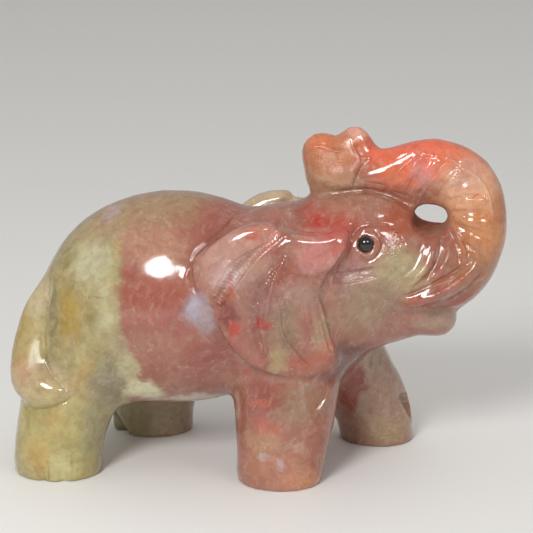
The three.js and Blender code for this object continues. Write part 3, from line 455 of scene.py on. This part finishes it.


# Agate: where each colour lies, in millimetres, as it shows on the near side, with a few clouds of painted
# light and shade among them

agate = {
    "rose": (0.36, 0.16, 0.11), "roseDeep": (0.33, 0.105, 0.075),
    "olive": (0.42, 0.35, 0.15), "oliveDeep": (0.30, 0.25, 0.10),
    # where the olive part ends along the body, and how softly
    "splitPlace": -16.3,
    "splitSoftness": 0.6,
    # how the colours stray from their places: scale of the drift, and its reach
    "drifts": {"wide": (0.16, 5.0), "frayed": (0.8, 1.6), "split": (0.5, 1.6)},
    # each cloud's name, centre, reach, softness of its edge, colour and strength
    "clouds": [
        # rump and back
        ("amber", (-22.9, -11, 21.8), (1.6, 4, 3.2), 0.5, (0.39, 0.25, 0.035), 0.7),
        ("amber", (-20.9, -12, 14.1), (1.8, 4, 2.6), 0.5, (0.48, 0.33, 0.10), 0.6),
        # the pale whitish-green patch high on the rump is partly the stone's pale colour and partly a painted
        # glint
        ("pale", (-20.3, -9, 28.9), (2.6, 5, 3.2), 0.6, (0.52, 0.51, 0.34), 0.75),
        ("pale", (-17.8, -11, 24.0), (1.6, 5, 3.6), 0.6, (0.50, 0.48, 0.29), 0.6),
        ("tan", (-17.9, -3, 34.2), (7, 9, 3.6), 0.5, (0.38, 0.25, 0.145), 0.8),
        ("tan", (-9.9, -2, 35.8), (6, 9, 2.6), 0.5, (0.36, 0.235, 0.125), 0.8),
        ("mauve", (-19.9, -4, 33.9), (1.8, 3, 0.8), 0.5, (0.46, 0.36, 0.38), 0.6),
        # tail and tuft
        ("tail", (-29.2, -8, 18.5), (3.0, 5, 8), 0.4, (0.44, 0.345, 0.14), 0.8),
        ("tail", (-27.0, -13, 12.6), (4.4, 4, 3.2), 0.3, (0.50, 0.38, 0.24), 0.8),
        ("peach", (-28.9, -10, 14.6), (1.8, 4, 1.8), 0.6, (0.52, 0.31, 0.17), 0.7),
        ("tail", (-27.6, -6, 23.5), (2.0, 5, 3.5), 0.5, (0.56, 0.48, 0.30), 0.8),
        ("darkEdge", (-25.6, -7, 21.4), (0.5, 6, 5.6), 0.5, (0.20, 0.17, 0.085), 0.6),
        ("crack", (-19.3, -11, 24.7), (1.5, 3, 0.12), 0.6, (0.20, 0.17, 0.12), 0.45),
        # hind leg
        ("leg", (-24.9, -12, 5.6), (6, 5, 7), 0.5, (0.45, 0.40, 0.14), 0.7),
        ("amber", (-26.9, -13, 3.2), (1.8, 4, 2.4), 0.6, (0.52, 0.34, 0.10), 0.7),
        ("amber", (-25.0, -13, 8.2), (1.2, 3, 1.6), 0.6, (0.50, 0.36, 0.11), 0.6),
        ("smoke", (-18.2, -12, 12.6), (2.2, 5, 4.4), 0.5, (0.25, 0.225, 0.14), 0.85),
        ("smoke", (-20.6, -12, 6.4), (1.5, 5, 4.6), 0.5, (0.27, 0.25, 0.14), 0.7),
        ("leg", (-24.2, -13, 1.8), (1.8, 3, 1.8), 0.5, (0.58, 0.54, 0.27), 0.8),
        # pale seam along the olive part's edge
        ("seam", (-16.6, -12, 18.4), (1.2, 6, 2.8), 0.4, (0.345, 0.295, 0.16), 0.7),
        ("seam", (-15.8, -11, 14.9), (1.4, 6, 2.4), 0.4, (0.48, 0.44, 0.25), 0.9),
        ("seam", (-14.2, -9, 11.6), (2.6, 6, 1.7), 0.4, (0.68, 0.66, 0.42), 0.95),
        # the cream along the underside of the belly is partly the stone's cream and partly painted bounce
        # light from below
        ("cream", (-8.0, -6, 9.4), (5.6, 6, 1.0), 0.5, (0.64, 0.58, 0.47), 0.85),
        # flank
        ("deep", (-11.2, -12, 25.6), (4.6, 5, 3.4), 0.5, (0.37, 0.115, 0.08), 0.85),
        ("deep", (-8.8, -12, 22.0), (2.4, 5, 2.6), 0.5, (0.34, 0.10, 0.075), 0.8),
        ("rose", (-12.2, -10, 31.2), (4.2, 5, 2.4), 0.6, (0.46, 0.24, 0.16), 0.8),
        ("lilac", (-6.3, -12, 24.0), (1.4, 4, 1.8), 0.7, (0.40, 0.385, 0.475), 0.85),
        ("lilac", (-5.3, -12, 21.4), (1.0, 4, 1.7), 0.6, (0.32, 0.25, 0.28), 0.8),
        ("deep", (-4.8, -12, 17.4), (2.6, 4, 2.6), 0.6, (0.31, 0.085, 0.065), 0.75),
        ("red", (-5.0, -4, 34.2), (2.4, 5, 2.0), 0.6, (0.36, 0.10, 0.075), 0.7),
        # neck and ears
        ("mauve", (1.2, -3, 34.2), (4.4, 5, 2.0), 0.5, (0.36, 0.15, 0.115), 0.8),
        ("cream", (2.0, 9, 34.4), (6, 4, 2.8), 0.3, (0.58, 0.46, 0.30), 0.95),
        ("pink", (-2.2, -12, 30.4), (4.2, 3, 3.6), 0.4, (0.52, 0.31, 0.26), 0.8),
        ("pink", (1.4, -11, 33.0), (2.6, 3, 1.6), 0.5, (0.60, 0.26, 0.20), 0.75),
        # the pinkish-white in the ear's broad channel is partly the stone's colour and partly painted
        # highlight
        ("lilac", (-1.4, -12, 28.6), (3.2, 3, 1.2), 0.5, (0.64, 0.47, 0.47), 0.75),
        ("tan", (1.0, -12, 27.4), (1.5, 3, 3.2), 0.5, (0.40, 0.22, 0.13), 0.7),
        ("flame", (-2.6, -12.5, 23.2), (1.1, 3, 1.7), 0.6, (0.20, 0.022, 0.01), 0.9),
        ("flame", (-1.6, -12.5, 21.6), (0.9, 3, 0.9), 0.6, (0.46, 0.035, 0.015), 0.9),
        ("mauve", (1.6, -12, 24.6), (2.4, 3, 4.2), 0.5, (0.29, 0.125, 0.11), 0.75),
        ("olive", (4.2, -12, 21.6), (1.8, 3, 3.2), 0.5, (0.27, 0.175, 0.105), 0.8),
        ("cream", (3.6, -12, 17.4), (1.4, 3, 2.2), 0.5, (0.38, 0.28, 0.135), 0.85),
        ("flame", (7.0, -11.5, 17.0), (2.0, 3, 1.0), 0.6, (0.40, 0.11, 0.06), 0.8),
        ("red", (-2.0, -12.5, 27.0), (0.6, 3, 1.6), 0.6, (0.46, 0.10, 0.06), 0.7),
        ("red", (0.2, -12, 33.0), (1.0, 3, 0.8), 0.6, (0.48, 0.11, 0.07), 0.7),
        ("red", (1.8, -12.5, 22.4), (1.0, 3, 0.8), 0.5, (0.38, 0.035, 0.02), 0.85),
        ("tan", (6.4, -12, 25.6), (2.2, 3, 1.8), 0.6, (0.36, 0.24, 0.19), 0.7),
        ("lilac", (7.6, -11, 29.6), (1.4, 3, 1.0), 0.6, (0.54, 0.27, 0.27), 0.7),
        ("flame", (9.6, -11, 18.4), (1.6, 3, 1.6), 0.5, (0.44, 0.12, 0.06), 0.8),
        ("olive", (9.0, -11, 21.4), (1.4, 3, 2.6), 0.5, (0.38, 0.28, 0.17), 0.7),
        # head
        ("red", (9.8, -7, 34.6), (3.4, 5, 1.8), 0.5, (0.47, 0.045, 0.025), 0.95),
        ("pink", (9.0, -9, 31.4), (3.0, 4, 2.2), 0.5, (0.58, 0.23, 0.20), 0.8),
        ("red", (11.4, -9, 32.4), (1.4, 4, 1.6), 0.6, (0.48, 0.12, 0.09), 0.7),
        ("crown", (13.2, -4, 36.0), (4.6, 6, 1.8), 0.5, (0.37, 0.18, 0.12), 0.8),
        ("flame", (18.2, -5, 34.0), (2.6, 6, 2.0), 0.6, (0.39, 0.10, 0.045), 0.85),
        ("mauve", (13.6, -9, 27.6), (3.4, 4, 2.2), 0.5, (0.36, 0.17, 0.16), 0.8),
        ("moss", (18.2, -8, 28.2), (3.2, 4, 3.0), 0.5, (0.43, 0.37, 0.20), 0.9),
        ("moss", (15.0, -8, 23.8), (4.4, 5, 3.8), 0.6, (0.32, 0.23, 0.145), 0.85),
        ("moss", (20.2, -7, 26.8), (2.0, 4, 2.0), 0.6, (0.44, 0.35, 0.19), 0.7),
        ("tan", (24.4, -4, 21.0), (4.0, 5, 2.0), 0.5, (0.36, 0.25, 0.18), 0.85),
        ("pink", (20.8, -6, 22.2), (2.4, 4, 1.2), 0.6, (0.42, 0.18, 0.13), 0.7),
        # trunk
        ("scarlet", (20.6, -3, 42.4), (7.6, 6, 2.8), 0.45, (0.82, 0.15, 0.07), 0.9),
        ("scarlet", (18.2, -4, 39.4), (3.4, 5, 2.4), 0.5, (0.66, 0.16, 0.07), 0.85),
        ("lilac", (21.0, -4, 40.4), (1.3, 3, 2.2), 0.6, (0.62, 0.28, 0.27), 0.7),
        ("peach", (27.0, -3, 38.4), (4.2, 6, 4.6), 0.5, (0.76, 0.41, 0.24), 0.9),
        ("peach", (29.0, -3, 32.6), (3.6, 6, 4.2), 0.5, (0.58, 0.24, 0.085), 0.9),
        ("scarlet", (26.6, -3, 41.8), (3.4, 6, 1.3), 0.5, (0.66, 0.17, 0.08), 0.8),
        ("tan", (27.8, -4, 27.8), (3.6, 5, 2.8), 0.5, (0.38, 0.17, 0.085), 0.85),
        # a paler, milky patch on the trunk's side: painted sheen over the stone's peach
        ("peach", (26.2, -3, 40.2), (2.2, 5, 1.8), 0.5, (0.64, 0.36, 0.26), 0.8),
        ("rust", (24.2, -5, 26.9), (3.6, 4, 0.8), 0.5, (0.38, 0.12, 0.06), 0.7),
        ("rust", (21.2, -6, 23.8), (1.8, 3, 0.7), 0.5, (0.40, 0.09, 0.05), 0.7),
        # flared end
        ("peach", (9.2, -1, 42.0), (4.2, 6, 3.0), 0.5, (0.50, 0.18, 0.07), 0.9),
        ("scarlet", (7.0, -1, 43.8), (2.6, 5, 1.1), 0.5, (0.66, 0.20, 0.08), 0.8),
        # the pale top of the flared end is lightened as painted sheen over the stone's orange
        ("scarlet", (12.6, -1, 44.8), (2.0, 5, 1.6), 0.5, (0.78, 0.42, 0.32), 0.8),
        ("beige", (9.0, -3, 38.8), (3.6, 5, 1.8), 0.5, (0.45, 0.28, 0.17), 0.85),
        # chest and forelegs
        # the near-black rust at the chest, under the head, is partly the stone's dark rust and partly painted
        # shade
        ("rust", (12.2, -4, 15.4), (3.2, 7, 3.0), 0.5, (0.13, 0.03, 0.012), 0.95),
        ("rust", (14.6, 3, 13.8), (2.6, 6, 2.4), 0.5, (0.24, 0.12, 0.07), 0.8),
        ("red", (1.2, -11, 11.6), (3.0, 5, 2.8), 0.5, (0.31, 0.085, 0.062), 0.85),
        ("red", (2.6, -12, 9.0), (1.5, 4, 1.0), 0.4, (0.46, 0.11, 0.07), 0.8),
        ("tan", (7.0, -11, 11.4), (3.2, 5, 2.8), 0.5, (0.31, 0.185, 0.115), 0.85),
        ("tan", (2.2, -12, 6.4), (2.6, 5, 2.2), 0.5, (0.44, 0.26, 0.13), 0.8),
        ("salmon", (4.6, -12, 2.8), (5.6, 5, 3.2), 0.5, (0.47, 0.21, 0.13), 0.8),
        ("salmon", (8.8, -11, 6.6), (1.4, 5, 4.6), 0.5, (0.34, 0.105, 0.065), 0.8),
        ("flame", (1.4, -12, 11.2), (1.3, 4, 0.5), 0.5, (0.50, 0.12, 0.06), 0.7),
        ("lilac", (2.0, -13, 4.9), (0.8, 3, 0.7), 0.6, (0.52, 0.42, 0.44), 0.7),
        ("lilac", (4.7, -13, 3.8), (0.6, 3, 0.8), 0.6, (0.54, 0.42, 0.44), 0.7),
        ("peach", (7.2, -11, 1.2), (2.4, 4, 1.4), 0.5, (0.60, 0.27, 0.13), 0.7),
        ("sand", (15.1, 6, 8.0), (5.0, 8, 9.0), 0.4, (0.34, 0.22, 0.15), 0.9),
        ("rust", (12.2, 4, 9.4), (1.6, 8, 4.6), 0.35, (0.26, 0.05, 0.03), 0.95),
        ("sand", (17.2, 6, 2.4), (3.6, 8, 2.6), 0.5, (0.38, 0.27, 0.15), 0.8),
        ("smoke", (-16.2, 8, 3.6), (7.0, 6, 6.0), 0.4, (0.33, 0.285, 0.155), 0.9),
    ],
    # veils over the clouds, in order; each lies in the stone itself or follows a drift
    "veils": [
        {"name": "milk", "scale": 0.55, "between": (0.52, 0.8), "detail": 6.0, "follows": "frayed",
         "colour": (0.55, 0.45, 0.36), "strength": 0.35, "mode": "MIX"},
        {"name": "depths", "scale": 0.9, "between": (0.5, 0.75), "detail": 6.0, "follows": "stone",
         "colour": (0.22, 0.10, 0.06), "strength": 0.3, "mode": "MIX"},
        {"name": "mottling", "scale": 0.75, "between": (0.40, 0.64), "detail": 9.0, "follows": "wide",
         "colour": (0.74, 0.60, 0.52), "strength": 0.5, "mode": "MULTIPLY"},
        {"name": "streaks", "scale": 1.5, "between": (0.5, 0.8), "detail": 8.0, "follows": "streaked",
         "colour": (0.62, 0.52, 0.42), "strength": 0.32, "mode": "MIX"},
        {"name": "speckle", "scale": 3.4, "between": (0.52, 0.8), "detail": 6.0, "follows": "stone",
         "colour": (0.62, 0.52, 0.45), "strength": 0.35, "mode": "MULTIPLY"},
    ],
    "streakStretch": (1.0, 1.0, 0.35),
    # small marks, each kind with the stretch along the body over which it comes in
    "flecks": [
        {"scale": 0.62, "threshold": 0.66, "colour": (0.42, 0.07, 0.04), "strength": 0.6, "from": (-9, -3)},
        {"scale": 1.1, "threshold": 0.715, "colour": (0.60, 0.52, 0.50), "strength": 0.5, "from": (-18, -15)},
    ],
    "fleckSoftness": 0.06,
    # centre and reach of the places left rough, of the drilled eyelet and of the dull places
    "unpolished": [
        ((12.4, -8, 27.7), (3.0, 4, 0.9)), ((17.6, -8, 29.6), (1.2, 4, 3.4)),
        ((21.4, -7, 27.8), (2.2, 4, 1.0)), ((26.6, -5, 26.4), (2.6, 4, 1.1)),
        ((1.2, -12, 24.0), (0.9, 3, 3.0)), ((-1.6, -11, 28.2), (2.4, 3, 2.6)),
        ((16.8, -8, 25.8), (1.4, 4, 1.2)), ((7.4, -11, 19.0), (1.0, 3, 1.8)),
        ((8.6, -3, 41.8), (3.0, 5, 2.0)), ((25.0, -4, 39.4), (1.4, 4, 1.2)),
    ],
    "drilled": ((22.0, 0, 33.9), (2.6, 20, 2.25)),
    "dull": [((-29.4, -8, 19.5), (3.4, 7, 8.0)), ((10.8, -3, 41.0), (3.2, 5, 2.8))],
    "patchEdges": {"unpolished": 0.5, "drilled": 0.12, "dull": 0.3},
    "polish": {"scale": 2.4, "between": (0.3, 0.8), "roughness": (0.08, 0.22), "dull": 0.34, "drilled": 0.8,
               "mirror": 0.5, "coat": 0.45, "coatRoughness": 0.05, "refraction": 1.54},
    "skin": {"scale": 3.2, "detail": 4.0, "strength": 0.12, "height": 0.06},
    "tooled": {"scale": 4.6, "detail": 2.0, "height": 0.09},
    "scatter": {"weight": 0.32, "depth": 1.6, "radius": (1.0, 0.55, 0.35)},
}


def makeAgate():
    material = bpy.data.materials.new("agate")
    material.use_nodes = True
    tree = material.node_tree
    tree.nodes.clear()
    cloudGroup = makeCloudGroup()
    fleckGroup = makeFleckGroup()

    where = addNode(tree, "ShaderNodeTexCoord").outputs["Object"]
    inMillimetres = addNode(tree, "ShaderNodeVectorMath", {"operation": "SCALE"}, Vector=where,
                            Scale=1 / millimetre).outputs[0]

    def wander(place, scale, amount):
        drift = addNode(tree, "ShaderNodeTexNoise", Vector=inMillimetres, Scale=scale, Detail=4.0,
                        Roughness=0.6)
        centred = addNode(tree, "ShaderNodeVectorMath", {"operation": "SUBTRACT"},
                          s0=drift.outputs["Color"], s1=(0.5, 0.5, 0.5))
        swing = addNode(tree, "ShaderNodeVectorMath", {"operation": "SCALE"}, Vector=centred.outputs[0],
                        Scale=amount)
        return addNode(tree, "ShaderNodeVectorMath", {"operation": "ADD"}, s0=place,
                       s1=swing.outputs[0]).outputs[0]

    def between(value, low, high):
        return addNode(tree, "ShaderNodeMapRange", {"interpolation_type": "SMOOTHSTEP"}, s0=value,
                       s1=low, s2=high).outputs[0]

    def grainMask(scale, low, high, detail=5.0, place=None):
        grain = addNode(tree, "ShaderNodeTexNoise", Vector=place or inMillimetres, Scale=scale,
                        Detail=detail, Roughness=0.6)
        return between(grain.outputs["Fac"], low, high)

    def blend(mask, under, over, mode="MIX"):
        mix = addNode(tree, "ShaderNodeMix", {"data_type": "RGBA", "blend_type": mode}, s0=mask)
        for socket, value in ((mix.inputs[6], under), (mix.inputs[7], over)):
            if isinstance(value, tuple):
                socket.default_value = (*value, 1)
            else:
                tree.links.new(value, socket)
        return mix.outputs[2]

    def times(a, b):
        return addNode(tree, "ShaderNodeMath", {"operation": "MULTIPLY"}, s0=a, s1=b).outputs[0]

    wide = wander(inMillimetres, *agate["drifts"]["wide"])
    frayed = wander(wide, *agate["drifts"]["frayed"])
    streaked = addNode(tree, "ShaderNodeVectorMath", {"operation": "MULTIPLY"}, s0=frayed,
                       s1=agate["streakStretch"]).outputs[0]
    places = {"stone": inMillimetres, "wide": wide, "frayed": frayed, "streaked": streaked}

    rose = blend(grainMask(0.22, 0.35, 0.65), agate["rose"], agate["roseDeep"])
    olive = blend(grainMask(0.3, 0.38, 0.62), agate["olive"], agate["oliveDeep"])
    along = addNode(tree, "ShaderNodeSeparateXYZ",
                    s0=wander(inMillimetres, *agate["drifts"]["split"])).outputs[0]
    rearPart = between(along, agate["splitPlace"] + agate["splitSoftness"],
                       agate["splitPlace"] - agate["splitSoftness"])
    colour = blend(rearPart, rose, olive)
    for name, centre, reach, edge, shade, strength in agate["clouds"]:
        cloud = addNode(tree, "ShaderNodeGroup", {"node_tree": cloudGroup, "label": name}, Place=frayed,
                        Centre=centre, Reach=reach, Edge=edge)
        colour = blend(times(cloud.outputs["Mask"], strength), colour, shade)

    for veil in agate["veils"]:
        mask = grainMask(veil["scale"], *veil["between"], veil["detail"], places[veil["follows"]])
        colour = blend(times(mask, veil["strength"]), colour, veil["colour"], veil["mode"])
    for fleck in agate["flecks"]:
        spots = addNode(tree, "ShaderNodeGroup", {"node_tree": fleckGroup}, Place=wide,
                        Scale=fleck["scale"], Threshold=fleck["threshold"],
                        Softness=agate["fleckSoftness"]).outputs["Mask"]
        here = times(spots, between(along, *fleck["from"]))
        colour = blend(times(here, fleck["strength"]), colour, fleck["colour"])

    def patches(name, spots):
        # one mask for a list of places and reaches
        mask = None
        for centre, reach in spots:
            patch = addNode(tree, "ShaderNodeGroup", {"node_tree": cloudGroup}, Place=inMillimetres,
                            Centre=centre, Reach=reach, Edge=agate["patchEdges"][name]).outputs["Mask"]
            mask = patch if mask is None else larger(mask, patch)
        return mask

    def larger(a, b):
        return addNode(tree, "ShaderNodeMath", {"operation": "MAXIMUM"}, s0=a, s1=b).outputs[0]

    def fromTo(mask, low, high):
        return addNode(tree, "ShaderNodeMapRange", s0=mask, s3=low, s4=high).outputs[0]

    def blendValue(mask, under, over):
        return addNode(tree, "ShaderNodeMix", {"data_type": "FLOAT"}, s0=mask, s2=under, s3=over).outputs[0]

    unpolished = patches("unpolished", agate["unpolished"])
    drilled = patches("drilled", [agate["drilled"]])
    dull = patches("dull", agate["dull"])
    polish = agate["polish"]
    polished = fromTo(grainMask(polish["scale"], *polish["between"]), *polish["roughness"])
    roughness = blendValue(drilled, blendValue(dull, polished, polish["dull"]), polish["drilled"])
    coat = fromTo(larger(drilled, dull), polish["coat"], 0.0)
    mirror = fromTo(drilled, polish["mirror"], 0.0)

    skin, tooled, scatter = agate["skin"], agate["tooled"], agate["scatter"]
    skinGrain = addNode(tree, "ShaderNodeTexNoise", Vector=inMillimetres, Scale=skin["scale"],
                        Detail=skin["detail"], Roughness=0.6)
    tooledGrain = addNode(tree, "ShaderNodeTexNoise", Vector=inMillimetres, Scale=tooled["scale"],
                          Detail=tooled["detail"], Roughness=0.5)
    skinBump = addNode(tree, "ShaderNodeBump", Strength=skin["strength"],
                       Distance=skin["height"] * millimetre, Height=skinGrain.outputs["Fac"])
    tooledBump = addNode(tree, "ShaderNodeBump", Strength=unpolished,
                         Distance=tooled["height"] * millimetre, Height=tooledGrain.outputs["Fac"],
                         Normal=skinBump.outputs[0])
    shader = addNode(tree, "ShaderNodeBsdfPrincipled", {"subsurface_method": "RANDOM_WALK"},
                     Roughness=roughness, Normal=tooledBump.outputs[0], IOR=polish["refraction"])
    tree.links.new(colour, shader.inputs["Base Color"])
    shader.inputs["Subsurface Weight"].default_value = scatter["weight"]
    shader.inputs["Subsurface Scale"].default_value = scatter["depth"] * millimetre
    shader.inputs["Subsurface Radius"].default_value = scatter["radius"]
    tree.links.new(coat, shader.inputs["Coat Weight"])
    tree.links.new(mirror, shader.inputs["Specular IOR Level"])
    shader.inputs["Coat Roughness"].default_value = polish["coatRoughness"]
    output = addNode(tree, "ShaderNodeOutputMaterial")
    tree.links.new(shader.outputs[0], output.inputs["Surface"])
    return material


glassLook = {"deep": (0.004, 0.004, 0.005), "light": (0.016, 0.013, 0.012), "grainScale": 900.0,
             "roughness": 0.03, "refraction": 1.52, "coat": 0.5}


def makeGlass():
    material = bpy.data.materials.new("blackGlass")
    material.use_nodes = True
    tree = material.node_tree
    shader = tree.nodes["Principled BSDF"]
    where = addNode(tree, "ShaderNodeTexCoord").outputs["Object"]
    grain = addNode(tree, "ShaderNodeTexNoise", Vector=where, Scale=glassLook["grainScale"], Detail=3.0)
    mix = addNode(tree, "ShaderNodeMix", {"data_type": "RGBA"}, s0=grain.outputs["Fac"])
    mix.inputs[6].default_value = (*glassLook["deep"], 1)
    mix.inputs[7].default_value = (*glassLook["light"], 1)
    tree.links.new(mix.outputs[2], shader.inputs["Base Color"])
    shader.inputs["Roughness"].default_value = glassLook["roughness"]
    shader.inputs["IOR"].default_value = glassLook["refraction"]
    shader.inputs["Coat Weight"].default_value = glassLook["coat"]
    return material


# a plain floor of four metres, mostly behind the figurine
floorLook = {"size": 4, "place": (0, 0.8, 0), "colour": (0.82, 0.81, 0.79), "roughness": 0.55, "mirror": 0.2}


def makeFloor():
    bpy.ops.object.select_all(action="DESELECT")
    bpy.ops.mesh.primitive_plane_add(size=floorLook["size"], location=floorLook["place"])
    floor = bpy.context.object
    floor.name = "floor"
    material = bpy.data.materials.new("paleFloor")
    material.use_nodes = True
    shader = material.node_tree.nodes["Principled BSDF"]
    shader.inputs["Base Color"].default_value = (*floorLook["colour"], 1)
    shader.inputs["Roughness"].default_value = floorLook["roughness"]
    shader.inputs["Specular IOR Level"].default_value = floorLook["mirror"]
    floor.data.materials.append(material)


# Light and camera, in millimetres

studio = {
    "sky": (1.0, 0.98, 0.95), "skyStrength": 0.375,
    # a light that isn't mirrored only brightens the stone, and one that doesn't shade is only mirrored
    "lights": {
        "window": {"place": (-82, -283, 237), "aim": (-11, -11, 29), "size": (118, 122), "power": 0.81,
                   "mirrored": True, "shades": True},
        "ceiling": {"place": (0, 250, 900), "aim": (0, 150, 0), "size": (1400, 1400), "power": 3.1,
                    "mirrored": False, "shades": True},
        "rightFill": {"place": (300, -220, 130), "aim": (8, 0, 25), "size": (160, 200), "power": 0.2,
                      "mirrored": False, "shades": True},
        "lamp": {"place": (194, -263, 278), "aim": (8, -8, 32), "size": (120, 110), "power": 0.5,
                 "mirrored": True, "shades": False},
    },
}

lens = {"place": (26.2, -201.0, 80.5), "pitch": 14.96, "azimuth": 7.193, "focalLength": 107.9, "sensor": 36}


def makeLights():
    world = bpy.data.worlds.new("studio")
    bpy.context.scene.world = world
    world.use_nodes = True
    background = world.node_tree.nodes["Background"]
    background.inputs["Color"].default_value = (*studio["sky"], 1)
    background.inputs["Strength"].default_value = studio["skyStrength"]
    for name, light in studio["lights"].items():
        place = Vector(light["place"]) * millimetre
        aim = Vector(light["aim"]) * millimetre
        bpy.ops.object.light_add(type="AREA", location=place)
        lamp = bpy.context.object
        lamp.name = name
        lamp.rotation_euler = (place - aim).to_track_quat("Z", "Y").to_euler()
        lamp.data.shape = "ELLIPSE" if light["mirrored"] else "RECTANGLE"
        lamp.data.size, lamp.data.size_y = (side * millimetre for side in light["size"])
        lamp.data.energy = light["power"]
        lamp.visible_glossy = light["mirrored"]
        lamp.visible_diffuse = light["shades"]


def makeCamera():
    bpy.ops.object.camera_add(location=Vector(lens["place"]) * millimetre)
    camera = bpy.context.object
    camera.rotation_euler = (math.radians(90 - lens["pitch"]), 0, math.radians(lens["azimuth"]))
    camera.data.lens = lens["focalLength"]
    camera.data.sensor_width = lens["sensor"]
    camera.data.clip_start = 0.01
    bpy.context.scene.camera = camera


makeCamera()
makeLights()
makeFloor()

stone = makeStone()
stone.data.materials.clear()
stone.data.materials.append(makeAgate())
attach(stone, "root")
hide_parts("elephant")

glass = makeGlass()
for node, name in (("eye_bead_right", "eyeRight"), ("eye_bead_left", "eyeLeft")):
    bead = makeBead(node, name)
    bead.data.materials.append(glass)
    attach(bead, "root")
    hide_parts(node)
print("eyes made")

bpy.context.scene.view_settings.view_transform = "Standard"
